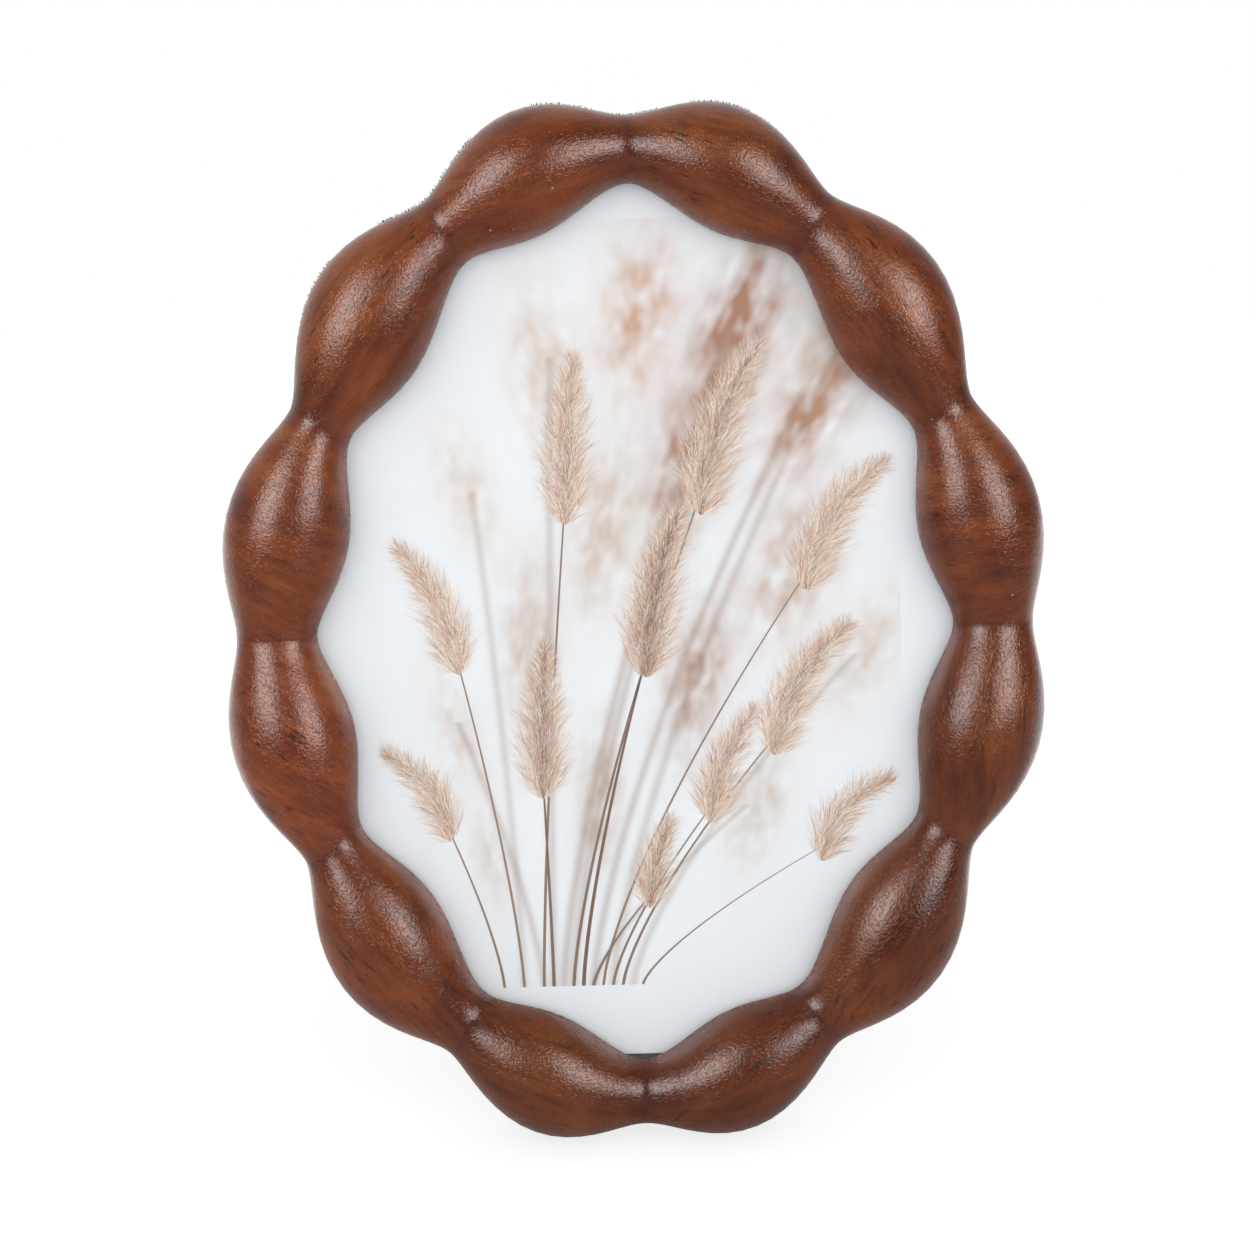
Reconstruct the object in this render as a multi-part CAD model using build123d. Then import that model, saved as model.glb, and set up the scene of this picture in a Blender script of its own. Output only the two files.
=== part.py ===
from build123d import *
from math import cos, pi, radians, sin, sqrt
import os

os.makedirs("parts", exist_ok=True)

# Oval picture frame that stands on a table on its easel leg. Sizes are in millimetres.
# Every piece is drawn with the panel upright: X to the right, Z up, the ring's flat back on Y 0
# and its carved front towards -Y. The whole panel is leaned back and set on the table at the end.

# Ring: an oval of twelve carved beads, mirrored from the three beads of one quarter
neck_reach_x = 71.3
neck_reach_z = 94.25
neck_x_shares = (0, 0.502, 0.861, 1)
neck_z_shares = (1, 0.837, 0.444, 0)
neck_ray_degrees = (0, 30.5, 58.8, 90)
neck_width = 14.6
neck_width_shares = (0.914, 1.0, 0.922, 1.107)
neck_blend = 0.3
neck_blend_shares = (1.38, 0.93, 1.0, 0.83)
bead_width = 24.4
bead_width_shares = (1.0, 1.08, 1.024)
bead_bow = 3.03
bead_bow_shares = (1.277, 1.0, 0.718)
neck_height = 14.0
bead_height = 19.0
side_wall_height = 6.0
back_edge_tuck = 0.4
crown_blend = 0.12
sections_in_bead = 12
sanded_flat_depth = 0.5

# Rebate behind the opening and the flat pieces that stack up in it
rebate_lip = 3.0
stack_clearance = 0.5
glass_thickness = 2.0
card_thickness = 0.4
card_width = 127.0
card_length = 177.8
card_bottom_show = 0.6
filler_thickness = 1.2
backer_thickness = 3.0
velvet_thickness = 0.6
velvet_floor_gap = 0.3

# Turn buttons on the back of the four shoulder beads, each on its own screw
button_bead_index = 1
button_bead_share = 0.5
button_edge_distance = 6.7
button_thickness = 0.8
button_eye_radius = 4.5
button_tip_radius = 3.2
button_tip_reach = 9.2
button_gap = 0.15
button_rib_height = 0.5
button_rib_width = 2.4
button_lip_length = 1.6
button_lip_degrees = 35
screw_radius = 1.4
screw_fit = 0.08
screw_head_radius = 3.1
screw_head_height = 1.7
screw_head_round = 0.9
screw_length = 10.0
screw_point_length = 2.4

# Sawtooth hanger at the top neck and its two nails
hanger_length = 36.0
hanger_height = 7.0
hanger_sheet = 0.7
hanger_rise = 1.2
hanger_foot_length = 5.5
hanger_ramp_length = 2.0
hanger_drop = 0.2
tooth_pitch = 2.1
tooth_depth = 1.7
tooth_count = 9
nail_radius = 0.6
nail_fit = 0.05
nail_head_radius = 1.5
nail_head_height = 0.5
nail_length = 8.0

# Easel hinge: two sheet leaves rolled round one pin
lean_degrees = 15
open_degrees = 27
pin_rise = 46.0
pin_radius = 1.0
pin_fit = 0.05
pin_head_radius = 1.6
pin_head_thickness = 0.5
leaf_thickness = 0.75
leaf_width = 20.0
leaf_length = 15.0
leaf_corner = 2.0
knuckle_back_gap = 0.1
knuckle_side_gap = 0.2
middle_knuckle_width = 7.8
leaf_notch_gap = 0.4
leg_leaf_inset = 0.9
stop_tab_length = 7.0
stop_gap = 0.15
rivet_radius = 1.2
rivet_fit = 0.05
rivet_head_radius = 2.1
rivet_head_height = 0.8
rivet_tail_height = 0.4
rivet_spread = 6.6
rivet_drop = 10.0
rivet_end_cover = 0.4

# Easel leg: a fibreboard strut in a velvet sleeve
leg_thickness = 3.0
leg_velvet = 0.4
leg_top_width = 32.0
leg_foot_width = 52.0
leg_top_gap = 3.0
leg_top_corner = 4.0
leg_foot_corner = 6.0
foot_allowance = 1.5

overrun = 1.0

opening_reach_x = neck_reach_x - neck_width * neck_width_shares[-1] / 2
opening_reach_z = neck_reach_z - neck_width * neck_width_shares[0] / 2
rebate_reach_x = opening_reach_x + rebate_lip
rebate_reach_z = opening_reach_z + rebate_lip
rebate_depth = backer_thickness + filler_thickness + card_thickness + glass_thickness
knuckle_radius = pin_radius + pin_fit + leaf_thickness
pin_y = velvet_thickness + knuckle_back_gap + knuckle_radius
pin_axis = Axis((0, pin_y, pin_rise), (1, 0, 0))
leg_leaf_y = pin_y - leg_leaf_inset
leg_face_y = leg_leaf_y + leaf_thickness
leg_back_y = leg_face_y + 2 * leg_velvet + leg_thickness
leg_slope = radians(open_degrees - lean_degrees)


def between(first, last, share):
    return first + (last - first) * share


def slab(outline, front_y, back_y):
    """A flat piece in the panel's plane, from front_y to back_y."""
    return extrude(Plane.XZ.offset(-back_y) * outline, amount=back_y - front_y)


def rod(x, z, radius, front_y, back_y):
    """A round bar square to the panel."""
    return slab(Pos(x, z) * Circle(radius), front_y, back_y)


def four_fold(shape):
    """The piece and its images in the other three quarters, clockwise from upper right."""
    return [shape, mirror(shape, about=Plane.XY), Rot(Y=180) * shape, mirror(shape, about=Plane.YZ)]


def neck_centre(index):
    return Vector(neck_reach_x * neck_x_shares[index], 0, neck_reach_z * neck_z_shares[index])


def bead_centre(index, share):
    """A point on the bead's bowed centre line, which runs from one neck to the next."""
    start = neck_centre(index)
    run = neck_centre(index + 1) - start
    outward = Vector(-run.Z, 0, run.X).normalized()
    bow = bead_bow * bead_bow_shares[index] * 4 * share * (1 - share)
    return start + run * share + outward * bow


def ray_degrees(index, share):
    return between(neck_ray_degrees[index], neck_ray_degrees[index + 1], share)


def eased(swell, blend):
    """A bead's swell from 0 to 1, rounded off where it runs into its neck."""
    return (sqrt(swell ** 2 + blend ** 2) - blend) / (sqrt(1 + blend ** 2) - blend)


def bead_section(index, share):
    """One slice of a bead: flat back, low side walls and an elliptical crown."""
    ray = radians(ray_degrees(index, share))
    plane = Plane(
        origin=bead_centre(index, share),
        x_dir=(sin(ray), 0, cos(ray)),
        z_dir=(cos(ray), 0, -sin(ray)),
    )
    swell = sin(pi * share)
    neck_shares = neck_width_shares[index:index + 2]
    narrow = neck_width * between(neck_shares[0], neck_shares[1], share)
    middle_narrow = neck_width * (neck_shares[0] + neck_shares[1]) / 2
    wide = bead_width * bead_width_shares[index]
    blend_shares = neck_blend_shares[index:index + 2]
    blend = neck_blend * between(blend_shares[0], blend_shares[1], share)
    half_width = (narrow + (wide - middle_narrow) * eased(swell, blend)) / 2
    height = between(neck_height, bead_height, eased(swell, crown_blend))
    back_half = half_width - back_edge_tuck
    crown = EllipticalCenterArc((0, side_wall_height), half_width, height - side_wall_height,
                                arc_size=180)
    walls = Polyline((-half_width, side_wall_height), (-back_half, 0),
                     (back_half, 0), (half_width, side_wall_height))
    return plane * make_face(Curve() + [crown, walls])


def carved_bead(index):
    shares = [(1 - cos(pi * step / sections_in_bead)) / 2 for step in range(sections_in_bead + 1)]
    return loft([bead_section(index, share) for share in shares])


def rebate_edge(centre, ray):
    """How far along the ray the rebate's edge lies from a point on a bead's centre line."""
    squares = (sin(ray) / rebate_reach_x) ** 2 + (cos(ray) / rebate_reach_z) ** 2
    slant = centre.X * sin(ray) / rebate_reach_x ** 2 + centre.Z * cos(ray) / rebate_reach_z ** 2
    inside = 1 - (centre.X / rebate_reach_x) ** 2 - (centre.Z / rebate_reach_z) ** 2
    return (sqrt(slant ** 2 + squares * inside) - slant) / squares


def button_pivot():
    """The screw's place on the upper right shoulder bead, in X and Z, out from the rebate's edge."""
    ray = radians(ray_degrees(button_bead_index, button_bead_share))
    centre = bead_centre(button_bead_index, button_bead_share)
    offset = rebate_edge(centre, ray) + button_edge_distance
    return (centre.X + offset * sin(ray), centre.Z + offset * cos(ray))


def frame_ring():
    """The whole carved ring, with the rebate and the holes for screws and nails in its back."""
    bead_count = len(bead_width_shares)
    beads = [quarter for index in range(bead_count) for quarter in four_fold(carved_bead(index))]
    ring = beads[0].fuse(*beads[1:])
    ring = ring - slab(Ellipse(rebate_reach_x, rebate_reach_z), -rebate_depth, overrun)
    pilot = rod(*button_pivot(), screw_radius + screw_fit, -screw_length - overrun, overrun)
    for hole in four_fold(pilot):
        ring = ring - hole
    for x, z in hanger_nail_places():
        ring = ring - rod(x, z, nail_radius + nail_fit, -nail_length, overrun)
    return ring


def flat_back_velvet(ring):
    """Flocked sheet glued on the ring's back, cut to the same outline and holes."""
    backs = [face for face in ring.faces().filter_by(Axis.Y) if abs(face.center().Y) < velvet_thickness]
    sheet = extrude(backs[0], amount=velvet_thickness, dir=(0, 1, 0))
    for face in backs[1:]:
        sheet = sheet + extrude(face, amount=velvet_thickness, dir=(0, 1, 0))
    return sheet


def stacked_oval(front_y, back_y):
    return slab(Ellipse(rebate_reach_x - stack_clearance, rebate_reach_z - stack_clearance),
                front_y, back_y)


def glass_pane():
    return stacked_oval(-rebate_depth, -rebate_depth + glass_thickness)


def print_card():
    """A five by seven inch print trimmed to the oval, its straight bottom edge just in sight."""
    front_y = glass_thickness - rebate_depth
    middle_z = card_length / 2 - opening_reach_z + card_bottom_show
    sheet = Pos(0, middle_z) * Rectangle(card_width, card_length)
    return stacked_oval(front_y, front_y + card_thickness) & slab(sheet, front_y, front_y + card_thickness)


def filler_card():
    return stacked_oval(-backer_thickness - filler_thickness, -backer_thickness)


def leaf_rivet_places():
    return [(side * rivet_spread, pin_rise + rivet_drop) for side in (-1, 1)]


def backer_board():
    board = stacked_oval(-backer_thickness, 0)
    for x, z in leaf_rivet_places():
        board = board - rod(x, z, rivet_radius + rivet_fit, rivet_end_cover - backer_thickness, overrun)
    return board


def backer_velvet():
    sheet = stacked_oval(0, velvet_thickness)
    for x, z in leaf_rivet_places():
        sheet = sheet - rod(x, z, rivet_radius + rivet_fit, -overrun, velvet_thickness + overrun)
    return sheet


def turn_button():
    """Stamped steel button: round eye, tapered tongue, pressed rib and turned-up finger lip."""
    front_y = velvet_thickness + button_gap
    back_y = front_y + button_thickness
    tip = Pos(0, -button_tip_reach) * Circle(button_tip_radius)
    outline = make_hull((Sketch() + [Circle(button_eye_radius), tip]).edges())
    plate = slab(outline, front_y, back_y)
    rib = slab(Pos(0, -button_tip_reach) * Circle(button_rib_width / 2), back_y,
               back_y + button_rib_height)
    rib_run = button_tip_reach - screw_head_radius - button_rib_width
    rib = rib + slab(Pos(0, rib_run / 2 - button_tip_reach) * Rectangle(button_rib_width, rib_run),
                     back_y, back_y + button_rib_height)
    rib = rib + slab(Pos(0, rib_run - button_tip_reach) * Circle(button_rib_width / 2), back_y,
                     back_y + button_rib_height)
    lip_root = (0, back_y - button_thickness / 2, button_thickness - button_tip_reach - button_tip_radius)
    lip = Box(button_tip_radius, button_thickness, button_thickness + button_lip_length,
              align=(Align.CENTER, Align.CENTER, Align.MAX))
    lip = Pos(lip_root) * Rot(X=button_lip_degrees) * lip
    hole = rod(0, 0, screw_radius + screw_fit, -overrun, back_y + overrun)
    return plate + rib + lip - hole


def placed_buttons():
    x, z = button_pivot()
    ray = ray_degrees(button_bead_index, button_bead_share)
    return four_fold(Pos(x, 0, z) * Rot(Y=ray) * turn_button())


def button_screw():
    """Pan-head screw: domed head on the button, shank and point in the ring's pilot hole."""
    x, z = button_pivot()
    head_y = velvet_thickness + button_thickness + button_gap * 2
    head = rod(0, 0, screw_head_radius, head_y, head_y + screw_head_height)
    head = fillet(head.edges().filter_by(GeomType.CIRCLE).sort_by(Axis.Y)[-1], screw_head_round)
    shank = rod(0, 0, screw_radius, screw_point_length - screw_length, head_y)
    point = Pos(0, screw_point_length / 2 - screw_length, 0) * Rot(X=90) * Cone(
        screw_radius, 0, screw_point_length)
    return Pos(x, 0, z) * (head + shank + point)


def hanger_centre_z():
    """Midway between the rebate's edge and the outer valley of the top neck."""
    outer_valley = neck_reach_z + neck_width * neck_width_shares[0] / 2 - back_edge_tuck
    return (rebate_reach_z + outer_valley) / 2 - hanger_drop


def hanger_nail_places():
    x = (hanger_length - hanger_foot_length) / 2
    return [(-x, hanger_centre_z()), (x, hanger_centre_z())]


def sawtooth_hanger():
    """Sheet steel strip with flat ends, a raised middle and teeth along its lower edge."""
    half = hanger_length / 2
    ramp_foot = half - hanger_foot_length
    ramp_top = ramp_foot - hanger_ramp_length
    path = [(-half, 0), (-ramp_foot, 0), (-ramp_top, hanger_rise),
            (ramp_top, hanger_rise), (ramp_foot, 0), (half, 0)]
    top = [(x, y + hanger_sheet) for x, y in reversed(path)]
    strip = extrude(make_face(Polyline(*path, *top, close=True)), amount=hanger_height)
    strip = Pos(0, velvet_thickness, hanger_centre_z() - hanger_height / 2) * strip
    lower_z = hanger_centre_z() - hanger_height / 2
    behind = velvet_thickness + hanger_rise + hanger_sheet + overrun
    for tooth in range(tooth_count):
        x = (tooth - (tooth_count - 1) / 2) * tooth_pitch
        notch = Polyline((x - tooth_pitch / 2, lower_z), (x, lower_z + tooth_depth),
                         (x + tooth_pitch / 2, lower_z), close=True)
        strip = strip - slab(make_face(notch), velvet_thickness, behind)
    for x, z in hanger_nail_places():
        strip = strip - rod(x, z, nail_radius + nail_fit, 0, behind)
    return strip


def hanger_nail(x, z):
    head_y = velvet_thickness + hanger_sheet
    head = rod(x, z, nail_head_radius, head_y, head_y + nail_head_height)
    return head + rod(x, z, nail_radius, nail_fit - nail_length, head_y)


def barrel(radius, left_x, right_x):
    """A round bar on the hinge's pin axis."""
    bar = Rot(Y=90) * Cylinder(radius, right_x - left_x)
    return Pos((left_x + right_x) / 2, pin_y, pin_rise) * bar


def hinge_plate(front_y, direction):
    """A leaf's flat plate, above (1) or below (-1) the pin, clear of the other leaf's knuckles."""
    inner = knuckle_radius + leaf_notch_gap
    middle_z = pin_rise + direction * (inner + leaf_length) / 2
    blank = Rectangle(leaf_width, leaf_length - inner)
    far = blank.vertices().group_by(Axis.Y)[-1 if direction > 0 else 0]
    blank = fillet(far, leaf_corner)
    return slab(Pos(0, middle_z) * blank, front_y, front_y + leaf_thickness)


def hinge_leaf_backer():
    """Leaf riveted to the backer, with the two outer knuckles."""
    plate = hinge_plate(velvet_thickness, 1)
    knuckle_inner = middle_knuckle_width / 2 + knuckle_side_gap
    half = leaf_width / 2
    neck_top = knuckle_radius + leaf_notch_gap + overrun
    for side in (-1, 1):
        left, right = sorted((side * knuckle_inner, side * half))
        neck = Pos((left + right) / 2, pin_rise + neck_top / 2) * Rectangle(right - left, neck_top)
        plate = plate + slab(neck, velvet_thickness, velvet_thickness + leaf_thickness)
        plate = plate + barrel(knuckle_radius, left, right)
    plate = plate - barrel(pin_radius + pin_fit, -half - overrun, half + overrun)
    for x, z in leaf_rivet_places():
        plate = plate - rod(x, z, rivet_radius + rivet_fit, 0, pin_y)
    return plate


def opened(piece):
    """A piece of the leg, turned on the pin from folded flat to open on its stop."""
    return piece.rotate(pin_axis, open_degrees)


def leg_rivet_places():
    return [(side * rivet_spread, pin_rise - rivet_drop) for side in (-1, 1)]


def hinge_leaf_leg():
    """Leaf riveted to the leg, with the middle knuckle and the tab that stops the leg open."""
    half = middle_knuckle_width / 2
    plate = hinge_plate(leg_leaf_y, -1)
    neck_top = knuckle_radius + leaf_notch_gap + overrun
    neck = Pos(0, pin_rise - neck_top / 2) * Rectangle(middle_knuckle_width, neck_top)
    plate = plate + slab(neck, leg_leaf_y, leg_face_y)
    for x, z in leg_rivet_places():
        plate = plate - rod(x, z, rivet_radius + rivet_fit, 0, leg_face_y + overrun)
    tab_y = velvet_thickness + leaf_thickness + stop_gap
    tab = Pos(0, pin_rise + stop_tab_length / 2) * Rectangle(middle_knuckle_width, stop_tab_length)
    leaf = opened(plate) + slab(tab, tab_y, tab_y + leaf_thickness)
    leaf = leaf + barrel(knuckle_radius, -half, half)
    return leaf - barrel(pin_radius + pin_fit, -half - overrun, half + overrun)


def hinge_pin():
    half = leaf_width / 2 + knuckle_side_gap
    pin = barrel(pin_radius, -half, half)
    pin = pin + barrel(pin_head_radius, -half - pin_head_thickness, -half)
    return pin + barrel(pin_head_radius, half, half + pin_head_thickness)


def domed_head(x, z, front_y):
    head = rod(x, z, rivet_head_radius, front_y, front_y + rivet_head_height)
    rim = head.edges().filter_by(GeomType.CIRCLE).sort_by(Axis.Y)[-1]
    return fillet(rim, rivet_head_height / 2)


def backer_rivet(x, z):
    head_y = velvet_thickness + leaf_thickness
    tail_y = rivet_end_cover - backer_thickness
    return domed_head(x, z, head_y) + rod(x, z, rivet_radius, tail_y, head_y)


def leg_rivet(x, z):
    tail = rod(x, z, rivet_head_radius, leg_leaf_y - rivet_tail_height, leg_leaf_y)
    shank = rod(x, z, rivet_radius, leg_leaf_y, leg_back_y)
    return opened(domed_head(x, z, leg_back_y) + shank + tail)


def leg_outline(leg_length, margin):
    """The strut's tapered outline, margin larger all round, longer than the leg by the trim."""
    top_z = pin_rise - leg_top_gap + margin
    foot_z = pin_rise - leg_length - foot_allowance - margin
    top_half = leg_top_width / 2 + margin
    foot_half = leg_foot_width / 2 + margin
    blank = make_face(Polyline((-top_half, top_z), (top_half, top_z), (foot_half, foot_z),
                               (-foot_half, foot_z), close=True))
    corners = blank.vertices().group_by(Axis.Y)
    blank = fillet(corners[-1], leg_top_corner + margin)
    return fillet(blank.vertices().group_by(Axis.Y)[0], leg_foot_corner + margin)


def leg_board(leg_length):
    board = slab(leg_outline(leg_length, 0), leg_face_y + leg_velvet, leg_back_y - leg_velvet)
    for x, z in leg_rivet_places():
        board = board - rod(x, z, rivet_radius + rivet_fit, 0, leg_back_y + overrun)
    return opened(board)


def leg_sleeve(leg_length):
    sleeve = slab(leg_outline(leg_length, leg_velvet), leg_face_y, leg_back_y)
    sleeve = sleeve - slab(leg_outline(leg_length, 0), leg_face_y + leg_velvet, leg_back_y - leg_velvet)
    for x, z in leg_rivet_places():
        sleeve = sleeve - rod(x, z, rivet_radius + rivet_fit, 0, leg_back_y + overrun)
    return opened(sleeve)


def set_on_table(shape, leaned_floor):
    """Lean a piece back with the panel and bring the table's top to Z 0."""
    return Pos(0, 0, -leaned_floor) * Rot(X=-lean_degrees) * shape


def trim_at(shape, level):
    return split(shape, bisect_by=Plane.XY.offset(level), keep=Keep.TOP)


ring = frame_ring()
leaned_floor = (Rot(X=-lean_degrees) * ring).bounding_box().min.Z + sanded_flat_depth
pin_height = set_on_table(Pos(0, pin_y, pin_rise) * Sphere(pin_radius), leaned_floor).center().Z
leg_length = pin_height / cos(leg_slope)

corner_names = ("upper_right", "lower_right", "lower_left", "upper_left")
side_names = ("left", "right")

nodes = {
    "frame_ring": ring,
    "ring_velvet": flat_back_velvet(ring),
    "glass_pane": glass_pane(),
    "print_card": print_card(),
    "filler_card": filler_card(),
    "backer_board": backer_board(),
    "backer_velvet": backer_velvet(),
    "hinge_leaf_backer": hinge_leaf_backer(),
    "hinge_leaf_leg": hinge_leaf_leg(),
    "hinge_pin": hinge_pin(),
    "leg_board": leg_board(leg_length),
    "leg_velvet": leg_sleeve(leg_length),
    "sawtooth_hanger": sawtooth_hanger(),
}
for side, place in zip(side_names, leaf_rivet_places()):
    nodes["backer_rivet_" + side] = backer_rivet(*place)
for side, place in zip(side_names, leg_rivet_places()):
    nodes["leg_rivet_" + side] = leg_rivet(*place)
for side, place in zip(side_names, hanger_nail_places()):
    nodes["hanger_nail_" + side] = hanger_nail(*place)
for corner, button, screw in zip(corner_names, placed_buttons(), four_fold(button_screw())):
    nodes["turn_button_" + corner] = button
    nodes["button_screw_" + corner] = screw

# Lean the panel, trim what stands on the table and centre the footprint on the origin
nodes = {name: set_on_table(shape, leaned_floor) for name, shape in nodes.items()}
trims = {"frame_ring": 0, "leg_board": 0, "leg_velvet": 0, "ring_velvet": velvet_floor_gap}
for name, level in trims.items():
    nodes[name] = trim_at(nodes[name], level)
boxes = [shape.bounding_box() for shape in nodes.values()]
front_y = min(box.min.Y for box in boxes)
back_y = max(box.max.Y for box in boxes)
nodes = {name: Pos(0, -(front_y + back_y) / 2, 0) * shape for name, shape in nodes.items()}

for name, shape in nodes.items():
    export_step(shape, f"parts/{name}.step")
print(f"{len(nodes)} pieces, {back_y - front_y:.1f} mm deep on the table")
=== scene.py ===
from math import asin, atan2, cos, exp, pi, radians, sin, sqrt
from random import Random

import bmesh
import bpy
from mathutils import Matrix, Vector, noise


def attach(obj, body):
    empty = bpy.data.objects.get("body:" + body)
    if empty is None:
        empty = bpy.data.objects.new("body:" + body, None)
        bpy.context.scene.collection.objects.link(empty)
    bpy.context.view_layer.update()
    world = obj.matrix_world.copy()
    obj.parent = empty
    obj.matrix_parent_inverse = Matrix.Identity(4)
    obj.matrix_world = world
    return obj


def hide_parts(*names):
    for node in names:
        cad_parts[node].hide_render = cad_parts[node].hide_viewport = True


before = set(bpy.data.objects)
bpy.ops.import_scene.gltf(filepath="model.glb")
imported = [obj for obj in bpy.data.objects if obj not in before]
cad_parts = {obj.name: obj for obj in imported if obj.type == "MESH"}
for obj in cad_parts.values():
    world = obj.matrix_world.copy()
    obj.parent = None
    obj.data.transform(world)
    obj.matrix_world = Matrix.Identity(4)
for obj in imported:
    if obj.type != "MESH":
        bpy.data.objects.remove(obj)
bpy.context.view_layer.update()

# Camera. It stands a little above the leaning panel and a touch to its left, about half a metre
# away, with a short telephoto lens. The panel leans back 15 degrees on its two lowest beads, and
# panel_to_table carries a point of the upright panel to its place on the table.
lean_degrees = 15
panel_middle = (0, -0.003114, 0.0988746)
panel_to_table = Matrix.Translation(panel_middle) @ Matrix.Rotation(radians(-lean_degrees), 4, "X")
to_table = panel_to_table.inverted()

# The camera's place, turns and lens came from a fit of the ring's outline to the photograph
camera_distance = 0.5332
camera_aim = Vector((-0.00204, 0, 0.00015))
camera_rise_degrees = 6.45
camera_side_degrees = -1.12
camera_roll_degrees = -1.18
camera_lens = 76.17
camera_turn = (Matrix.Rotation(radians(camera_side_degrees), 4, "Z")
               @ Matrix.Rotation(radians(90 - camera_rise_degrees), 4, "X"))
camera_roll = Matrix.Rotation(radians(camera_roll_degrees), 4, "Z")

camera = bpy.data.objects.new("camera", bpy.data.cameras.new("camera"))
bpy.context.collection.objects.link(camera)
camera.data.sensor_width = 36
camera.data.lens = camera_lens
camera.data.clip_start = 0.01
camera.matrix_world = (panel_to_table @ Matrix.Translation(camera_aim) @ camera_turn @ camera_roll
                       @ Matrix.Translation((0, 0, camera_distance)))
bpy.context.scene.camera = camera

# Carved ring. One oval of twelve rounded beads in a close-grained brown hardwood, band-sawn from
# blocks, carved and sanded over the front, rebated at the back, stained and sprayed with a satin
# lacquer. Painted shade darkens its colour in the creases between the beads, over the inner flank
# and down the steep sides.

# The part's own sizes. neck_reach, the neck shares, widths and blends and the bead widths and bows
# came from a fit to the ring's edge in the photograph and weren't chosen by hand.
neck_reach = Vector((0.0713, 0, 0.09425))
neck_x_shares = (0, 0.502, 0.861, 1)
neck_z_shares = (1, 0.837, 0.444, 0)
neck_ray_degrees = (0, 30.5, 58.8, 90)
neck_widths = (0.0133444, 0.0146, 0.0134612, 0.0161622)
neck_blends = (0.414, 0.279, 0.3, 0.249)
bead_widths = (0.0244, 0.026352, 0.0249856)
bead_bows = (0.00386931, 0.00303, 0.00217554)
crown_blend = 0.12
neck_height = 0.014
bead_height = 0.019
side_wall_height = 0.006
back_edge_tuck = 0.0004
rebate_reach = Vector((0.0662189, 0, 0.0905778))
rebate_depth = 0.0066
slices_in_bead = 22
crown_points = 40
edge_round = 0.0005
wall_slope = 0.0001


def between(first, last, share):
    return first + (last - first) * share


def neck_centre(index):
    return Vector((neck_reach.x * neck_x_shares[index], 0, neck_reach.z * neck_z_shares[index]))


def eased(swell, blend):
    """A bead's swell from 0 to 1, rounded off where it runs into its neck."""
    return (sqrt(swell ** 2 + blend ** 2) - blend) / (sqrt(1 + blend ** 2) - blend)


def bead_slice(index, share):
    """Centre, outward ray, half width and height of a slice through a bead of the upper right quarter."""
    start = neck_centre(index)
    run = neck_centre(index + 1) - start
    outward = Vector((-run.z, 0, run.x)).normalized()
    centre = start + run * share + outward * bead_bows[index] * 4 * share * (1 - share)
    ray = radians(between(neck_ray_degrees[index], neck_ray_degrees[index + 1], share))
    swell = max(sin(pi * share), 0)
    narrow = between(neck_widths[index], neck_widths[index + 1], share)
    middle = (neck_widths[index] + neck_widths[index + 1]) / 2
    blend = between(neck_blends[index], neck_blends[index + 1], share)
    half_width = (narrow + (bead_widths[index] - middle) * eased(swell, blend)) / 2
    height = between(neck_height, bead_height, eased(swell, crown_blend))
    return centre, Vector((sin(ray), 0, cos(ray))), half_width, height


def ring_slice(turn):
    """The slice at a place round the ring, from 0 at the top through 3 at the right to 12."""
    quarter, place = divmod(turn % 12, 3)
    if quarter in (1, 3):
        place = 3 - place
    index = min(int(place), 2)
    centre, ray, half_width, height = bead_slice(index, place - index)
    side = Vector((1 if quarter < 2 else -1, 1, 1 if quarter in (0, 3) else -1))
    return centre * side, ray * side, half_width, height


def rebate_edge(centre, ray):
    """How far along the ray the rebate's wall lies from a slice's centre."""
    squares = (ray.x / rebate_reach.x) ** 2 + (ray.z / rebate_reach.z) ** 2
    slant = centre.x * ray.x / rebate_reach.x ** 2 + centre.z * ray.z / rebate_reach.z ** 2
    inside = 1 - (centre.x / rebate_reach.x) ** 2 - (centre.z / rebate_reach.z) ** 2
    return (sqrt(slant ** 2 + squares * inside) - slant) / squares


def slice_outline(turn):
    """One closed slice as panel points: over the crown from the lip, then back along the rebate."""
    centre, ray, half_width, height = ring_slice(turn)
    crown = height - side_wall_height
    lip_turn = asin((rebate_depth + edge_round - side_wall_height) / crown)
    lip = -half_width * cos(lip_turn)
    wall = rebate_edge(centre, ray)
    outline = [(lip + edge_round, rebate_depth), (lip + edge_round * 0.25, rebate_depth + edge_round * 0.3)]
    for step in range(crown_points + 1):
        angle = between(lip_turn, pi, step / crown_points)
        outline.append((-half_width * cos(angle), side_wall_height + crown * sin(angle)))
    foot = half_width - back_edge_tuck
    outline += [(foot + wall_slope, edge_round), (foot - edge_round * 0.3, edge_round * 0.3),
                (foot - edge_round, 0)]
    outline += [(between(foot, wall, share), 0) for share in (0.35, 0.7)]
    outline += [(wall, 0), (wall, 0), (wall, rebate_depth / 2), (wall, rebate_depth), (wall, rebate_depth)]
    outline += [(between(wall, lip, share), rebate_depth) for share in (0.35, 0.7)]
    return [centre + ray * across - Vector((0, height_off_back, 0)) for across, height_off_back in outline]


def slice_share(step):
    """Slices stand closer together near the necks, so that the creases stay crisp."""
    bead, place = divmod(step, slices_in_bead)
    return bead + (1 - cos(pi * place / slices_in_bead)) / 2


def add_piece(name, bm, material, body="frame", nodes=(), smooth_degrees=35):
    """Puts a mesh drawn on the upright panel into the scene, at its place on the table."""
    bm.transform(panel_to_table)
    return add_table_piece(name, bm, material, body, nodes, smooth_degrees)


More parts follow.
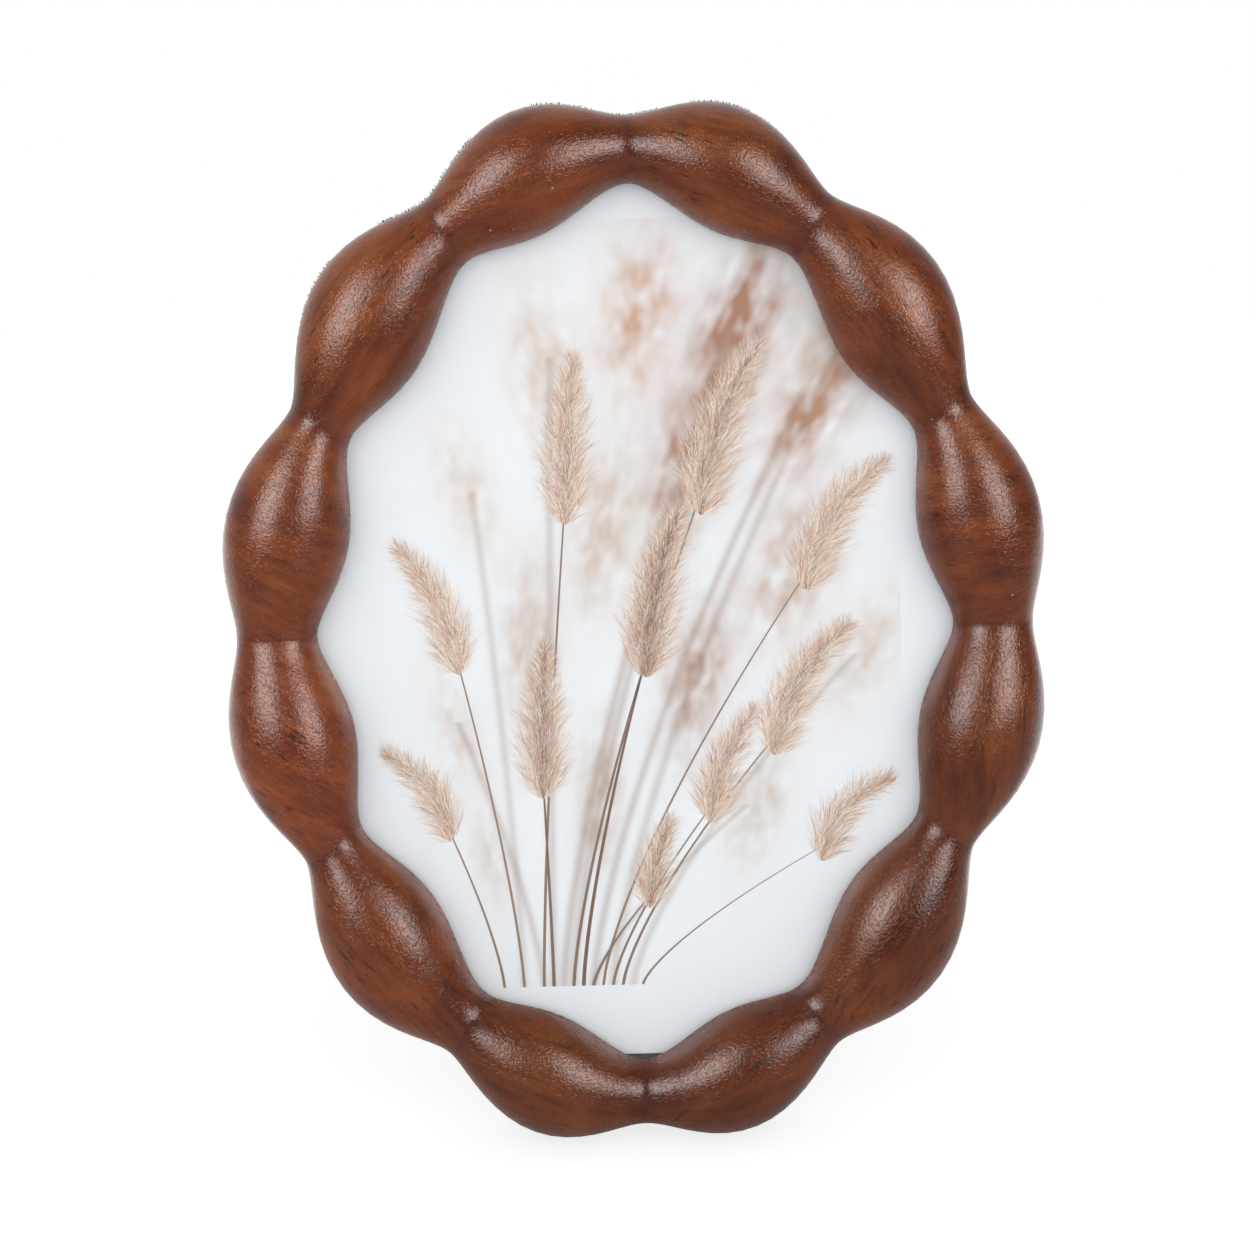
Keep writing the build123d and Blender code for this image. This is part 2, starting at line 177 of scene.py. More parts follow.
def add_table_piece(name, bm, material, body, nodes, smooth_degrees):
    mesh = bpy.data.meshes.new(name)
    bm.to_mesh(mesh)
    bm.free()
    mesh.shade_smooth()
    mesh.set_sharp_from_angle(angle=radians(smooth_degrees))
    piece = bpy.data.objects.new(name, mesh)
    bpy.context.collection.objects.link(piece)
    mesh.materials.append(material)
    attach(piece, body)
    if nodes:
        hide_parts(*nodes)
    return piece


# Grain directions in degrees and tones of the twelve blocks, clockwise from the top right bead.
# The tones were set against the photograph sector by sector, so they hold some of its lighting.
grain_degrees = (-20, -52, 8, 84, 58, 24, -22, -48, -34, -27, 50, 18)
# Each tone is partly the block's own colour and partly painted light and shade: lighter over the left beads,
# darker over the lower right and bottom beads.
block_tones_and_light = (0.98, 1.05, 1.02, 0.91, 0.82, 0.76, 0.74, 1.06, 1.40, 1.18, 1.10, 1.14)
block_spacing = 0.31
# How far the painted shade reaches from each neck's crease, the flank band, which takes some painted shade
# too, and the strength of the painted shade over the inner flank.
crease_shade_width = 0.05
flank_top = 0.004
flank_depth = 0.011
inner_flank_shade = 0.6

ring = bmesh.new()
slice_count = 12 * slices_in_bead
outlines = [slice_outline(slice_share(step)) for step in range(slice_count)]
outline_length = len(outlines[0])
bmesh.ops.create_grid(ring, x_segments=slice_count, y_segments=outline_length, size=0.5)
crease_shade_layer = ring.verts.layers.float.new("crease")
flank_layer = ring.verts.layers.float.new("flank")
for vert in ring.verts:
    around = round((vert.co.x + 0.5) * slice_count)
    along = round((vert.co.y + 0.5) * outline_length) % outline_length
    vert.co = outlines[around % slice_count][along]
    turn = slice_share(around)
    vert[flank_layer] = 1 - min(max((-vert.co.y - flank_top) / flank_depth, 0), 1)
    inner_flank = vert[flank_layer] if along < crown_points / 2 else 0
    # Painted shade, stored per vertex: darkest at each neck's crease and strong over the inner flank.
    crease = exp(-(abs(turn - round(turn)) / crease_shade_width) ** 1.2)
    vert[crease_shade_layer] = max(crease, inner_flank_shade * inner_flank)
grain_layer = ring.loops.layers.float_vector.new("grain_space")
tone_and_light_layer = ring.loops.layers.float.new("tone")
necks = [atan2(neck_centre(index).x / neck_reach.x, neck_centre(index).z / neck_reach.z)
         for index in range(3)]
necks += [pi / 2] + [pi - angle for angle in necks[:0:-1]]
necks += [pi + angle for angle in necks]
for face in ring.faces:
    middle = face.calc_center_median()
    turn = atan2(middle.x / neck_reach.x, middle.z / neck_reach.z) % (2 * pi)
    bead = (sum(1 for angle in necks if angle < turn) - 1) % 12
    block = Matrix.Rotation(radians(grain_degrees[bead]), 3, "Y")
    for loop in face.loops:
        loop[grain_layer] = block @ loop.vert.co + Vector((0, 0, block_spacing * bead))
        loop[tone_and_light_layer] = block_tones_and_light[bead]
bmesh.ops.remove_doubles(ring, verts=ring.verts, dist=0.000001)
table_up = to_table.to_3x3() @ Vector((0, 0, 1))
cut = bmesh.ops.bisect_plane(ring, geom=ring.verts[:] + ring.edges[:] + ring.faces[:], dist=0.0000001,
                             plane_co=to_table @ Vector((0, 0, 0)), plane_no=-table_up, clear_outer=True)
bmesh.ops.holes_fill(ring, edges=[edge for edge in cut["geom_cut"] if isinstance(edge, bmesh.types.BMEdge)])
bmesh.ops.recalc_face_normals(ring, faces=ring.faces)


def add_node(tree, kind, settings=None, **inputs):
    """A shader node with its settings, and its inputs set to a value or linked to a socket."""
    made = tree.nodes.new(kind)
    for name, value in (settings or {}).items():
        setattr(made, name, value)
    for name, value in inputs.items():
        numbered = name[0] == "i" and name[1:].isdigit()
        socket = made.inputs[int(name[1:]) if numbered else name.replace("_", " ")]
        if isinstance(value, bpy.types.NodeSocket):
            tree.links.new(value, socket)
        else:
            socket.default_value = value
    return made


def add_math(tree, operation, first, second=0.0, clamp=False):
    return add_node(tree, "ShaderNodeMath", {"operation": operation, "use_clamp": clamp},
                    i0=first, i1=second).outputs[0]


def add_ramp(tree, value, stops):
    """A colour ramp with its stops given as (place, colour)."""
    ramp = tree.nodes.new("ShaderNodeValToRGB")
    while len(ramp.color_ramp.elements) < len(stops):
        ramp.color_ramp.elements.new(0.5)
    for element, (place, colour) in zip(ramp.color_ramp.elements, stops):
        element.position = place
        element.color = colour if len(colour) == 4 else (*colour, 1)
    tree.links.new(value, ramp.inputs[0])
    return ramp.outputs[0]


def add_mix(tree, share, first, second, blend="MIX"):
    return add_node(tree, "ShaderNodeMix", {"data_type": "RGBA", "blend_type": blend},
                    i0=share, i6=first, i7=second).outputs[2]


def add_grey(tree, value):
    """The same value in all three colours."""
    return add_node(tree, "ShaderNodeCombineColor", i0=value, i1=value, i2=value).outputs[0]


def add_noise(tree, place, scale, detail, **more):
    return add_node(tree, "ShaderNodeTexNoise", Vector=place, Scale=scale, Detail=detail,
                    **more).outputs["Fac"]


def add_bump(tree, shader, height, strength, distance):
    """A fine relief on the surface."""
    bump = add_node(tree, "ShaderNodeBump", Strength=strength, Distance=distance, Height=height)
    tree.links.new(bump.outputs[0], shader.inputs["Normal"])


def read_layer(tree, name, output="Fac"):
    """What the mesh stores at each place under this name."""
    return add_node(tree, "ShaderNodeAttribute", {"attribute_name": name}).outputs[output]


def linear(red, green, blue):
    """A colour given in screen values from 0 to 255, as the renderer's linear colour."""
    return tuple((part / 255 / 12.92) if part <= 10 else ((part / 255 + 0.055) / 1.055) ** 2.4
                 for part in (red, green, blue)) + (1,)


def new_group(name, inputs, outputs):
    """An empty shader node group with named inputs and outputs."""
    group = bpy.data.node_groups.new(name, "ShaderNodeTree")
    for label, kind, value in inputs:
        made = group.interface.new_socket(label, in_out="INPUT", socket_type="NodeSocket" + kind)
        if value is not None:
            made.default_value = value
    for label, kind in outputs:
        group.interface.new_socket(label, in_out="OUTPUT", socket_type="NodeSocket" + kind)
    return group, group.nodes.new("NodeGroupInput").outputs, group.nodes.new("NodeGroupOutput").inputs


def new_material(name):
    """A material with its shader and the tree that it stands in."""
    material = bpy.data.materials.new(name)
    material.use_nodes = True
    shader = material.node_tree.nodes["Principled BSDF"]
    return material, material.node_tree, shader


# Stain and pores of the wood, read from each bead's own grain direction, with painted shade in
# the creases and on the flanks
wood_grain, asked, given = new_group(
    "wood_grain",
    [("Grain Space", "Vector", None), ("Tone", "Float", 1.0), ("Crease", "Float", 0.0),
     ("Flank", "Float", 0.0)],
    [("Color", "Color"), ("Roughness", "Float"), ("Height", "Float")])


def drawn_out(share, shift=0.0):
    """The grain space with its patterns drawn out along the grain by the share's inverse."""
    return add_node(wood_grain, "ShaderNodeMapping", i0=asked["Grain Space"], i1=(shift, shift, shift),
                    i3=(share, 0.3, 1)).outputs[0]


def grain_noise(place, scale, detail, roughness=0.5, distortion=0.0):
    return add_noise(wood_grain, place, scale, detail, Roughness=roughness, Distortion=distortion)


def product(first, second):
    return add_math(wood_grain, "MULTIPLY", first, second)


def total(first, second, clamp=False):
    return add_math(wood_grain, "ADD", first, second, clamp)


def grain_mask(value, start, end):
    """Black below the start and white past the end."""
    return add_ramp(wood_grain, value, [(start, (0, 0, 0)), (end, (1, 1, 1))])


cloud = grain_noise(drawn_out(0.4), 80, 4, 0.55, 0.6)
band = grain_noise(drawn_out(0.15, 0.2), 190, 4, 0.6, 0.5)
brown = add_ramp(wood_grain, cloud, [(0.32, linear(77, 31, 17)), (0.46, linear(108, 50, 25)),
                                     (0.64, linear(134, 73, 36))])
banded = add_ramp(wood_grain, band, [(0.36, linear(73, 30, 17)), (0.60, linear(128, 68, 36))])
stained = add_mix(wood_grain, 0.4, brown, banded)
streak = grain_mask(grain_noise(drawn_out(0.16, 0.4), 720, 3, 0.6), 0.48, 0.66)
flat_share = add_math(wood_grain, "SUBTRACT", 1.0, asked["Flank"])
streak_mask = product(streak, product(flat_share, 0.38))
streaked = add_mix(wood_grain, streak_mask, stained, linear(66, 32, 26))
pore = grain_mask(grain_noise(drawn_out(0.15, 0.6), 1500, 1, 0.5), 0.62, 0.69)
patch = add_ramp(wood_grain, grain_noise(drawn_out(0.4, 0.8), 110, 2),
                 [(0.44, (0.05, 0.05, 0.05)), (0.60, (1, 1, 1))])
pore_mask = product(product(pore, patch), flat_share)
pored = add_mix(wood_grain, product(pore_mask, 0.75), streaked, linear(50, 24, 20))
# Painted shade: the colour turns dark brown towards the neck creases and over the inner flank, and a little
# down the steep sides.
painted_shade = total(product(asked["Crease"], 0.48), product(asked["Flank"], 0.12), True)
crease_shaded = add_mix(wood_grain, painted_shade, pored, linear(74, 37, 35))
speck = add_node(wood_grain, "ShaderNodeTexVoronoi", Vector=asked["Grain Space"], Scale=230).outputs
speck_chance = add_node(wood_grain, "ShaderNodeSeparateColor", i0=speck["Color"]).outputs[0]
speck_mask = product(add_math(wood_grain, "LESS_THAN", speck["Distance"], 0.045),
                     add_math(wood_grain, "GREATER_THAN", speck_chance, 0.72))
specked = add_mix(wood_grain, speck_mask, crease_shaded, linear(180, 146, 118))
dimple = grain_noise(asked["Grain Space"], 2100, 2, 0.6)
# Each block's tone, which carries painted light and shade, with a fine random mottle.
toned_and_lit = add_grey(wood_grain, product(asked["Tone"], total(product(dimple, 0.5), 0.75)))
wood_grain.links.new(add_mix(wood_grain, 1.0, specked, toned_and_lit, "MULTIPLY"), given["Color"])
ripple = grain_noise(asked["Grain Space"], 300, 2)
pit = grain_mask(grain_noise(drawn_out(0.5, 1.0), 2400, 1), 0.53, 0.62)
satin = total(product(product(pit, flat_share), 0.11), 0.19)
dull = product(add_math(wood_grain, "POWER", asked["Flank"], 4.0), 0.35)
wood_grain.links.new(total(dull, satin), given["Roughness"])
swell = total(product(dimple, 1.3), product(ripple, 1.1))
relief = add_math(wood_grain, "SUBTRACT", swell, product(pit, 0.42))
wood_grain.links.new(product(relief, flat_share), given["Height"])

ring_wood, tree, shader = new_material("stained_wood")
carved = add_node(tree, "ShaderNodeGroup", {"node_tree": wood_grain},
                  Grain_Space=read_layer(tree, "grain_space", "Vector"), Tone=read_layer(tree, "tone"),
                  Crease=read_layer(tree, "crease"), Flank=read_layer(tree, "flank")).outputs
tree.links.new(carved["Color"], shader.inputs["Base Color"])
tree.links.new(carved["Roughness"], shader.inputs["Roughness"])
add_bump(tree, shader, carved["Height"], 0.66, 0.0001)
shader.inputs["IOR"].default_value = 1.5
shader.inputs["Specular IOR Level"].default_value = 0.2

add_piece("carved_ring", ring, ring_wood, "frame", ["frame_ring"], 50)

# Flocked sheet. Black velvet paper glued on the ring's back and cut round its outline; its short
# nylon fibres stand out a little past the wood.
flock_pile, asked, given = new_group(
    "flock_pile", [("Tint", "Color", (0.02, 0.02, 0.02, 1))], [("Color", "Color"), ("Height", "Float")])
place = add_node(flock_pile, "ShaderNodeTexCoord").outputs["Object"]
pile = add_noise(flock_pile, place, 2600, 2)
nap = add_noise(flock_pile, place, 45, 3)
brushed = add_math(flock_pile, "SUBTRACT", add_math(flock_pile, "MULTIPLY", nap, 1.7), 0.5)
shade = add_math(flock_pile, "ADD", add_math(flock_pile, "MULTIPLY", pile, 1.3), brushed)
shaded = add_mix(flock_pile, 1.0, asked["Tint"], add_grey(flock_pile, shade), "MULTIPLY")
flock_pile.links.new(shaded, given["Color"])
flock_pile.links.new(pile, given["Height"])


def flocked(name, tint):
    material, tree, shader = new_material(name)
    pile = add_node(tree, "ShaderNodeGroup", {"node_tree": flock_pile}, Tint=tint).outputs
    tree.links.new(pile["Color"], shader.inputs["Base Color"])
    add_bump(tree, shader, pile["Height"], 0.6, 0.0002)
    shader.inputs["Roughness"].default_value = 1.0
    shader.inputs["Specular IOR Level"].default_value = 0.0
    shader.inputs["Sheen Weight"].default_value = 0.2
    shader.inputs["Sheen Roughness"].default_value = 0.4
    shader.inputs["Sheen Tint"].default_value = (0.5, 0.5, 0.56, 1)
    return material


velvet = flocked("black_flock", linear(40, 39, 42))


def keep_node(name, material):
    """A CAD node that stays as it is and takes its finish."""
    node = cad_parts[name]
    node.data.materials.clear()
    node.data.materials.append(material)


keep_node("ring_velvet", velvet)

fibres = bmesh.new()
fibre_count = 3600
fibre_root_depth = 0.0004
fibre_half_width = 0.00013
trimmed_lengths = (0.0003, 0.00055)
ragged_lengths = (0.0009, 0.0014)
ragged_reach = 0.011
ragged_places = ((-0.005, 0.094), (-0.034, 0.079), (-0.057, 0.056), (0.022, 0.096))
ragged_spots = [Vector((x, 0, z)) for x, z in ragged_places]
table_clearance = 0.0004
laid_length = 0.0003
laid_height = 0.0006
chance = Random(5)


def part_strips(bm, count):
    """Parts a grid that is twice the count wide into that many strips with gaps between them."""
    bmesh.ops.delete(bm, context="FACES", geom=[
        face for face in bm.faces if round((face.calc_center_median().x + 0.5) * 2 * count - 0.5) % 2])


bmesh.ops.create_grid(fibres, x_segments=2 * fibre_count, y_segments=1, size=0.5)
part_strips(fibres, fibre_count)
for index, face in enumerate(fibres.faces):
    centre, ray, half_width, height = ring_slice(12 * (index + chance.random()) / fibre_count)
    ragged = any((centre - spot).length < ragged_reach for spot in ragged_spots)
    root = centre + ray * (half_width - fibre_root_depth) + Vector((0, chance.uniform(0.0001, 0.0005), 0))
    lean = Vector((chance.uniform(-1, 1), chance.uniform(-0.5, 0.7), chance.uniform(-1, 1))) * 0.3
    tip = root + (ray + lean).normalized() * chance.uniform(*(ragged_lengths if ragged else trimmed_lengths))
    across = Vector((ray.z, 0, -ray.x)) * fibre_half_width
    if min((panel_to_table @ tip).z, (panel_to_table @ root).z) < table_clearance:
        root, tip = root.copy(), root + Vector((0, laid_length, 0))
        root.z = tip.z = max(root.z, (to_table @ Vector((0, 0, laid_height))).z)
    outline = (root - across, root + across, tip + across * 0.4, tip - across * 0.4)
    for vert, spot in zip(face.verts, outline):
        vert.co = spot
add_piece("velvet_fibres", fibres, velvet, "frame", ())

# Glass pane. Clear 2 mm float glass cut to the oval, its edges ground; it lies against the
# ring's lip, in front of the print.
stack_clearance = 0.0005
stack_reach = rebate_reach - Vector((stack_clearance, 0, stack_clearance))


def stacked_oval(front, back, edge):
    """A flat oval that lies in the rebate, from front to back off the ring's back plane."""
    bm = bmesh.new()
    bmesh.ops.create_circle(bm, cap_ends=True, segments=180, radius=1)
    rim = bmesh.ops.extrude_face_region(bm, geom=bm.faces[:])
    for element in rim["geom"]:
        if isinstance(element, bmesh.types.BMVert):
            element.co.z = 1
    for vert in bm.verts:
        depth = between(front, back, vert.co.z)
        vert.co = Vector((vert.co.x * stack_reach.x, -depth, vert.co.y * stack_reach.z))
    bmesh.ops.recalc_face_normals(bm, faces=bm.faces)
    if edge:
        rims = [e for e in bm.edges if abs(e.verts[0].co.y - e.verts[1].co.y) < 0.00001]
        bmesh.ops.bevel(bm, geom=rims, offset=edge, segments=2, profile=0.5, affect="EDGES", material=-1)
    return bm


glass_front = rebate_depth
glass_back = 0.0047
glass_edge = 0.0003
clear_glass, tree, shader = new_material("clear_glass")
smear = add_noise(tree, add_node(tree, "ShaderNodeTexCoord").outputs["Object"], 14, 3)
tree.links.new(add_math(tree, "MULTIPLY", smear, 0.008), shader.inputs["Roughness"])
shader.inputs["Base Color"].default_value = (0.985, 0.995, 0.99, 1)
shader.inputs["Transmission Weight"].default_value = 1.0
shader.inputs["IOR"].default_value = 1.5
path = add_node(tree, "ShaderNodeLightPath").outputs
unbent = add_math(tree, "MAXIMUM", path["Is Shadow Ray"], path["Is Diffuse Ray"])
passing = add_node(tree, "ShaderNodeMixShader", i0=unbent, i1=shader.outputs[0],
                   i2=add_node(tree, "ShaderNodeBsdfTransparent").outputs[0])
tree.links.new(passing.outputs[0], tree.nodes["Material Output"].inputs["Surface"])
glass_oval = stacked_oval(glass_front, glass_back, glass_edge)
add_piece("glass_oval", glass_oval, clear_glass, "frame", ["glass_pane"], 15)

# Print. A five by seven inch satin card trimmed to the oval, so that only its lower edge stays
# straight. It is printed with a plain pale field and dried seed heads in soft focus, and has a
# white border.
card_front = 0.0046
card_back = 0.0042
card_middle = Vector((0, 0, 0.0019222))
card_half = Vector((0.0635, 0, 0.0889))
picture_half = Vector((0.0530, 0, 0.0768))
picture_middle = Vector((0, 0, 0.0042))

card = stacked_oval(card_front, card_back, 0)
card_bottom = (0, 0, card_middle.z - card_half.z)
straight_cuts = [(card_bottom, (0, 0, -1))] + [((side * card_half.x, 0, 0), (side, 0, 0)) for side in (-1, 1)]
for cut_place, outward in straight_cuts:
    cut = bmesh.ops.bisect_plane(card, geom=card.verts[:] + card.edges[:] + card.faces[:], dist=0.000001,
                                 plane_co=cut_place, plane_no=outward, clear_outer=True)
    bmesh.ops.holes_fill(card, edges=[e for e in cut["geom_cut"] if isinstance(e, bmesh.types.BMEdge)])
bmesh.ops.recalc_face_normals(card, faces=card.faces)

card_white, tree, shader = new_material("satin_card")
place = add_node(tree, "ShaderNodeTexCoord").outputs["Object"]
mottle = add_noise(tree, place, 900, 2)
mottled = add_mix(tree, mottle, linear(238, 242, 247), linear(241, 245, 250))
tree.links.new(mottled, shader.inputs["Base Color"])
add_bump(tree, shader, mottle, 0.05, 0.00002)
shader.inputs["Roughness"].default_value = 0.45
add_piece("print_sheet", card, card_white, "frame", ["print_card"], 30)

# Far, blurred seed heads on the pale field, in millimetres and degrees:
# x, z, half width, half length, turn, strength, colour
pale_field = (0.865, 0.895, 0.935)
far_stem_colour = (150, 118, 98)
field_layer = 0.00462
stem_layer = 0.00464
bristle_layer = 0.00465
far_heads = [
    (21, 58, 10, 25, 24, 0.95, (164, 106, 72)), (36, 44, 9, 22, 30, 0.80, (176, 122, 86)),
    (2, 62, 10, 21, 8, 0.70, (200, 152, 120)), (-17, 52, 9, 20, -10, 0.55, (208, 180, 156)),
    (11, 33, 9, 22, 18, 0.85, (166, 110, 76)), (46, 64, 9, 20, 36, 0.60, (194, 158, 130)),
    (-6, 20, 8, 21, 10, 0.60, (194, 158, 128)), (32, 12, 10, 20, 24, 0.66, (184, 138, 106)),
    (-33, 28, 7, 17, -16, 0.44, (210, 186, 162)), (-21, -2, 7, 21, 2, 0.55, (186, 150, 120)),
    (12, -10, 8, 20, 14, 0.66, (170, 120, 88)), (45, -6, 8, 17, 32, 0.46, (202, 174, 150)),
    (-36, -20, 6, 15, -20, 0.40, (202, 174, 150)), (-8, -34, 6, 18, 4, 0.52, (180, 146, 116)),
    (24, -36, 7, 16, 18, 0.44, (192, 162, 136)), (-30, -46, 5, 13, -12, 0.36, (198, 172, 148)),
]

# Their blurred stems: foot x, foot z, top x, top z, width, strength
far_stems = [(-16, -73, 20, 60, 1.0, 0.46), (-10, -73, 34, 46, 0.9, 0.42), (-18, -73, -16, 54, 0.9, 0.38),
             (-6, -73, 44, 60, 1.0, 0.36), (-20, -73, -36, -18, 0.8, 0.38), (-14, -73, 12, 34, 0.9, 0.42),
             (-2, -73, 44, -6, 0.9, 0.34), (-24, -73, -32, 28, 0.8, 0.32), (-10, -73, 22, -36, 0.7, 0.36)]


def field_colour(x, z):
    """The blurred background of the picture at a place in millimetres."""
    red, green, blue = pale_field
    for mx, mz, half_x, half_z, degrees, strength, tint in far_heads:
        turn = radians(degrees)
        dx, dz = x - mx, z - mz
        side = (dx * cos(turn) - dz * sin(turn)) / half_x
        rise = (dx * sin(turn) + dz * cos(turn)) / half_z
        far = side * side + rise * rise
        if far < 4:
            tuft = noise.noise(Vector((side * 2.6, rise * 3.6, mx)))
            tuft += 0.5 * noise.noise(Vector((side * 6, rise * 8, mz)))
            share = min(max(strength * exp(-far * 1.7) * (1 + 0.9 * tuft), 0), 1)
            wanted = linear(*tint)
            red, green, blue = (between(old, new, share) for old, new in zip((red, green, blue), wanted))
    for x0, z0, x1, z1, width, strength in far_stems:
        if z < z1:
            rise = (z - z0) / (z1 - z0)
            reach = x0 + (x1 - x0) * rise ** 1.4
            share = strength * exp(-((x - reach) / width) ** 2)
            wanted = linear(*far_stem_colour)
            red, green, blue = (between(old, new, share) for old, new in zip((red, green, blue), wanted))
    return red, green, blue, 1


picture = bmesh.new()
bmesh.ops.create_grid(picture, x_segments=212, y_segments=306, size=1)
tint_layer = picture.verts.layers.float_color.new("ink")
for vert in picture.verts:
    spot = picture_middle + Vector((vert.co.x * picture_half.x, 0, vert.co.y * picture_half.z))
    vert.co = Vector((spot.x, -field_layer, spot.z))
    vert[tint_layer] = field_colour(spot.x * 1000, spot.z * 1000)
outside = [vert for vert in picture.verts
           if (vert.co.x / stack_reach.x) ** 2 + (vert.co.z / stack_reach.z) ** 2 > 0.995]
bmesh.ops.delete(picture, geom=outside, context="VERTS")


def face_forward(bm):
    """Turns every face of a printed layer to the front."""
    bmesh.ops.recalc_face_normals(bm, faces=bm.faces)
    for face in bm.faces:
        face.normal_update()
    bmesh.ops.reverse_faces(bm, faces=[face for face in bm.faces if face.normal.y > 0])


face_forward(picture)
ink, tree, shader = new_material("printed_ink")
tint = read_layer(tree, "ink", "Color")
place = add_node(tree, "ShaderNodeTexCoord").outputs["Object"]
dots = add_noise(tree, place, 3000, 1)
tree.links.new(add_mix(tree, 0.06, tint, add_grey(tree, dots), "OVERLAY"), shader.inputs["Base Color"])
shader.inputs["Roughness"].default_value = 0.45
add_piece("print_field", picture, ink, "frame", (), 30)

# Near seed heads in focus: a curved stem and a drooping head of fine bristles, printed over the field
near_heads = [
    # foot x, head x, head z, half width, half length, turn, bristles, darkness
    (-14, 17, 40, 7.2, 18, 20, 3900, 0.62), (-8, 39, 21, 6.2, 15, 32, 2800, 0.40),
    (-20, -13, 37, 6.4, 16, 4, 3100, 0.48), (-12, 4, 7, 7.6, 17, 12, 4100, 0.90),
    (-4, 32, -12, 6.4, 15, 30, 2800, 0.52), (-24, -39, 5, 5.6, 14, -24, 2300, 0.34),
    (-18, -19, -19, 6.4, 15, 2, 2900, 0.70), (-6, 17, -28, 5.2, 12, 22, 2000, 0.50),
    (-28, -42, -32, 4.6, 11, -34, 1500, 0.36), (0, 41, -38, 4.8, 11, 40, 1500, 0.42),
    (-10, 3, -48, 4.4, 9, 14, 1300, 0.62),
]
bristle_tints = ((254, 248, 241), (247, 231, 215), (238, 210, 186), (216, 170, 136), (180, 118, 82))
bristle_count = sum(head[6] for head in near_heads)
bristle_reach = 52.9
chance = Random(11)
bristles = bmesh.new()
bmesh.ops.create_grid(bristles, x_segments=2 * bristle_count, y_segments=2, size=0.5)
part_strips(bristles, bristle_count)
tint_layer = bristles.verts.layers.float_color.new("ink")
strands = {}
for vert in bristles.verts:
    strands.setdefault(round((vert.co.x + 0.5) * 2 * bristle_count) // 2, []).append(vert)
strands = iter(sorted(strands.items()))
for foot_x, head_x, head_z, half_x, half_z, degrees, count, dark in near_heads:
    for strand in range(count):
        rise = 2 * chance.random() ** 1.15 - 1
        turn = radians(degrees) * (1 + 0.4 * rise)
        lengthways = Vector((sin(turn), 0, cos(turn)))
        sideways = Vector((cos(turn), 0, -sin(turn)))
        side = min(max(chance.gauss(0, 0.45), -1), 1)
        width = half_x * sqrt(1 - rise * rise) * (0.62 - 0.30 * rise)
        root = Vector((head_x, 0, head_z)) + lengthways * half_z * rise + sideways * width * side
        fan = side * 0.75 + chance.gauss(0, 0.26)
        curl = chance.gauss(0, 0.30) + side * 0.25
        length = chance.uniform(1.8, 5.2) * (1 - 0.25 * rise)
        depth = dark * max(1.15 - abs(side) * 1.6, 0) * chance.uniform(0.2, 1.5)
        pale = linear(*chance.choice(bristle_tints))
        layer = -1000 * bristle_layer - 0.012 * chance.random()
        for vert in next(strands)[1]:
            along = vert.co.y + 0.5
            edge = 1 if round((vert.co.x + 0.5) * 2 * bristle_count) % 2 else -1
            aim = fan + curl * along
            spot = root + (lengthways * cos(aim) + sideways * sin(aim)) * length * along
            spot += sideways * edge * between(0.045, 0.012, along)
            if max(abs(root.x), abs(spot.x)) > bristle_reach:
                spot = Vector((head_x, 0, head_z))
            share = min(depth * (1.15 - 0.8 * along), 1)
            vert[tint_layer] = [between(a, b, share) for a, b in zip(pale, linear(104, 60, 40))]
            vert.co = Vector((spot.x, layer, spot.z)) / 1000
face_forward(bristles)
add_piece("print_bristles", bristles, ink, "frame", (), 30)

stem_foot = -72.6
stems = bmesh.new()
tint_layer = stems.verts.layers.float_color.new("ink")
for foot_x, head_x, head_z, half_x, half_z, degrees, count, dark in near_heads:
    made = bmesh.ops.create_grid(stems, x_segments=1, y_segments=30, size=1)["verts"]
    for vert in made:
        rise = (vert.co.y + 1) / 2
        turn = radians(degrees)
        end_x = head_x - half_z * 0.7 * sin(turn * 0.72)
        end_z = head_z - half_z * 0.7 * cos(turn * 0.72)
        x = foot_x + (end_x - foot_x) * rise ** 1.35
        width = between(0.30, 0.16, rise) * (0.7 + dark * 0.7)
        vert[tint_layer] = [between(a, b, 0.35 + dark * 0.6)
                            for a, b in zip(linear(186, 158, 134), linear(98, 66, 50))]
        height = between(stem_foot, end_z, rise)
        vert.co = Vector((x + vert.co.x * width, -1000 * stem_layer, height)) / 1000
face_forward(stems)
add_piece("print_stems", stems, ink, "frame", (), 30)

# Filler and backer. A grey board that takes up the slack behind the print, and a 3 mm fibreboard
# oval with black flocked paper on its outside, held in by four turn buttons.
board_fibres, asked, given = new_group(
    "board_fibres", [("Light", "Color", (0.5, 0.4, 0.3, 1)), ("Dark", "Color", (0.3, 0.2, 0.1, 1))],
    [("Color", "Color"), ("Height", "Float")])
place = add_node(board_fibres, "ShaderNodeTexCoord").outputs["Object"]
flecks = add_noise(board_fibres, place, 1400, 4, Roughness=0.7)
board_fibres.links.new(add_mix(board_fibres, flecks, asked["Light"], asked["Dark"]), given["Color"])
board_fibres.links.new(flecks, given["Height"])


def pressed_board(name, light, dark):
    material, tree, shader = new_material(name)
    fibres = add_node(tree, "ShaderNodeGroup", {"node_tree": board_fibres}, Light=light, Dark=dark).outputs
    tree.links.new(fibres["Color"], shader.inputs["Base Color"])
    add_bump(tree, shader, fibres["Height"], 0.3, 0.0001)
    shader.inputs["Roughness"].default_value = 0.85
    return material


grey_board = pressed_board("grey_board", linear(92, 78, 70), linear(60, 50, 46))
fibreboard = pressed_board("fibreboard", linear(170, 138, 104), linear(120, 90, 62))
keep_node("filler_card", grey_board)
keep_node("backer_board", fibreboard)
keep_node("backer_velvet", velvet)

